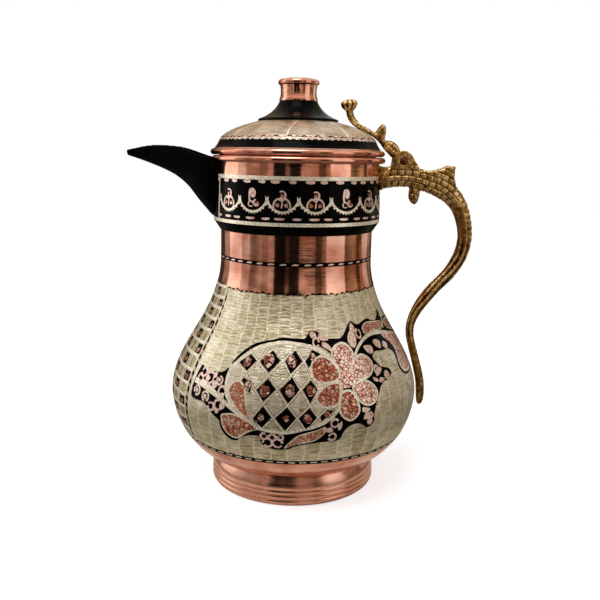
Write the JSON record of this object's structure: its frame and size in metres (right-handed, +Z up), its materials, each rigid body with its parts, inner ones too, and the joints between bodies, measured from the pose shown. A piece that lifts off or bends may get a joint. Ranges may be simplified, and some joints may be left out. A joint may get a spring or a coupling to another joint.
{
  "type": "coffee pot",
  "caption": "Copper dallah coffee pot with a pear-shaped engraved belly, open black beak, cast brass handle and a hinged domed lid with a thumb lever.",
  "frame": {"origin": "on the pot's upright axis, in the plane of the table under the foot", "axes": "+Z up along the pot's axis, +X towards the handle, the beak points to -X"},
  "size_m": [0.2139, 0.1558, 0.25],
  "materials": {
    "tinned_copper": "engraved copper with a silvery cream tin wash",
    "copper": "polished copper",
    "black_lacquer": "black lacquer on copper",
    "cast_brass": "cast brass, dark in the recesses",
    "pin_copper": "tarnished copper",
    "iron_wire": "plain drawn wire",
    "plated_steel": "plated steel"
  },
  "bodies": {
    "pot": {"body_shell": "tinned_copper", "foot_ring": "copper", "neck_collar": "black_lacquer", "rim_wire": "iron_wire", "beak": "black_lacquer", "handle": "cast_brass", "handle_rivets": "copper", "handle_burrs": "copper", "hinge_pin": "pin_copper"},
    "lid": {"lid_shell": "tinned_copper", "lid_wire": "iron_wire", "lid_ring": "copper", "knob_cone": "black_lacquer", "knob_cap": "copper", "knob_stud": "plated_steel", "knob_washer": "plated_steel", "knob_nut": "plated_steel", "lid_lever": "cast_brass", "lever_rivets": "cast_brass", "lever_burrs": "copper"}
  },
  "joints": [
    {"name": "lid_hinge", "type": "hinge", "parent": "pot", "child": "lid", "pos_m": [0.0643, 0, 0.2028], "axis": [0, 1, 0], "range_deg": [0, 105]}
  ]
}
